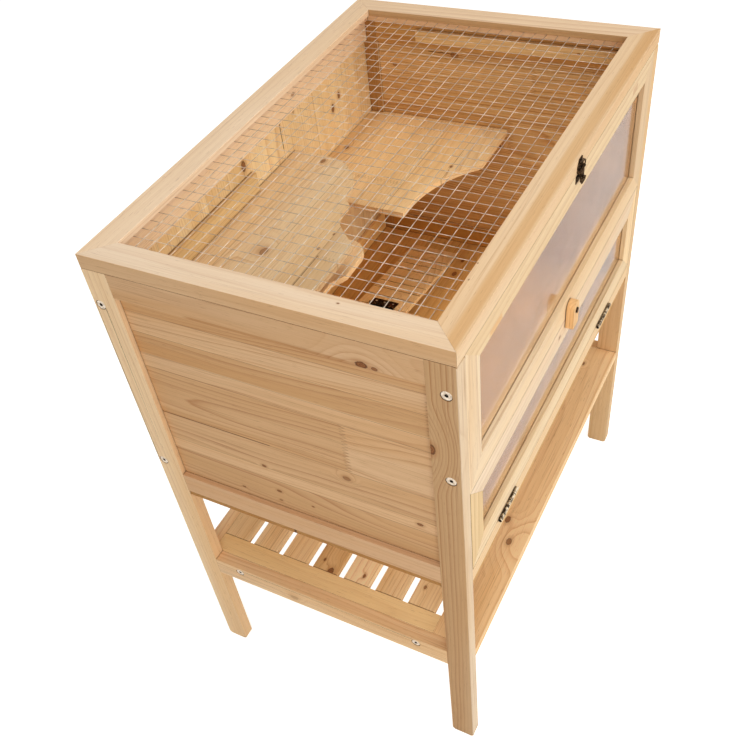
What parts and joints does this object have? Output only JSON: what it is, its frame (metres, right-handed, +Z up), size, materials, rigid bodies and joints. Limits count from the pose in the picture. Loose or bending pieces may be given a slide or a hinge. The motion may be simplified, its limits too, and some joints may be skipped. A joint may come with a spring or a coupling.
{
  "type": "wooden small animal cage",
  "caption": "Wooden cage on legs with a hinged wire mesh lid, a clear front with a drop-down door, climbing platforms, a ramp and a slatted shelf below.",
  "frame": {"origin": "centre of the bounding box's underside, on the floor between the feet", "axes": "+Z up, front with the clear door towards -Y, +X to the right seen from the front"},
  "size_m": [0.79, 0.5512, 0.934],
  "materials": {
    "pine_frame": "bare planed pine, matt",
    "pine_wall": "bare glued pine boards, matt",
    "pine_front": "bare planed pine, matt, pale",
    "pine_lid": "bare planed pine, matt",
    "pine_inside": "bare planed pine, matt",
    "pine_shelf": "bare planed pine, matt",
    "clear_sheet": "clear glossy sheet",
    "bronze_fitting": "dark antique bronze, worn edges",
    "zinc_bolt": "bright zinc plated",
    "net_wire": "galvanised welded wire"
  },
  "bodies": {
    "cage": {"leg_front_left": "pine_frame", "leg_front_right": "pine_frame", "leg_rear_left": "pine_frame", "leg_rear_right": "pine_frame", "left_top_rail": "pine_frame", "left_bottom_rail": "pine_frame", "left_panel": "pine_wall", "right_top_rail": "pine_frame", "right_bottom_rail": "pine_frame", "right_panel": "pine_wall", "rear_top_rail": "pine_frame", "rear_bottom_rail": "pine_frame", "rear_panel": "pine_wall", "floor_board": "pine_wall", "front_bottom_rail": "pine_front", "window_top_rail": "pine_front", "window_bottom_rail": "pine_front", "window_left_stile": "pine_front", "window_right_stile": "pine_front", "window_pane": "clear_sheet", "turn_button_screw": "bronze_fitting", "door_hinge_fixed_leaves": "bronze_fitting", "door_hinge_pins": "bronze_fitting", "lid_hinge_fixed_leaves": "bronze_fitting", "lid_hinge_pins": "bronze_fitting", "latch_catch": "bronze_fitting", "upper_platform": "pine_inside", "rear_wall_strip": "pine_inside", "right_wall_strip": "pine_inside", "middle_platform": "pine_inside", "ledge": "pine_inside", "platform_cleats": "pine_inside", "landing": "pine_inside", "landing_battens": "pine_inside", "ramp_hinge_fixed_leaf": "bronze_fitting", "ramp_hinge_pin": "bronze_fitting", "stretcher_left": "pine_shelf", "stretcher_right": "pine_shelf", "shelf_front_plank": "pine_shelf", "shelf_rear_plank": "pine_shelf", "shelf_side_planks": "pine_shelf", "shelf_slats": "pine_shelf", "bolts_left": "zinc_bolt", "bolts_right": "zinc_bolt"},
    "door": {"door_top_rail": "pine_front", "door_bottom_rail": "pine_front", "door_left_stile": "pine_front", "door_right_stile": "pine_front", "door_pane": "clear_sheet", "door_hinge_leaves": "bronze_fitting"},
    "turn_button": {"turn_button": "pine_front"},
    "lid": {"lid_front_rail": "pine_lid", "lid_rear_rail": "pine_lid", "lid_left_rail": "pine_lid", "lid_right_rail": "pine_lid", "lid_net": "net_wire", "lid_hinge_leaves": "bronze_fitting", "latch_plate": "bronze_fitting", "latch_pin": "bronze_fitting"},
    "hasp": {"latch_hasp": "bronze_fitting"},
    "ramp": {"ramp": "pine_inside", "ramp_hinge_leaf": "bronze_fitting"}
  },
  "joints": [
    {"name": "door_hinge", "type": "hinge", "parent": "cage", "child": "door", "pos_m": [0, -0.2638, 0.4992], "axis": [1, 0, 0], "range_deg": [0, 170]},
    {"name": "turn_button_pivot", "type": "hinge", "parent": "cage", "child": "turn_button", "pos_m": [0.0045, -0.2676, 0.6825], "axis": [0, 1, 0], "range_deg": [-90, 90]},
    {"name": "lid_hinge", "type": "hinge", "parent": "cage", "child": "lid", "pos_m": [0, 0.2726, 0.912], "axis": [-1, 0, 0], "range_deg": [0, 100]},
    {"name": "hasp_hinge", "type": "hinge", "parent": "lid", "child": "hasp", "pos_m": [0.01, -0.2634, 0.9155], "axis": [-1, 0, 0], "range_deg": [0, 120]},
    {"name": "ramp_hinge", "type": "hinge", "parent": "cage", "child": "ramp", "pos_m": [0.09503, 0.1174, 0.5124], "axis": [0, -1, 0], "range_deg": [0, 60]}
  ]
}
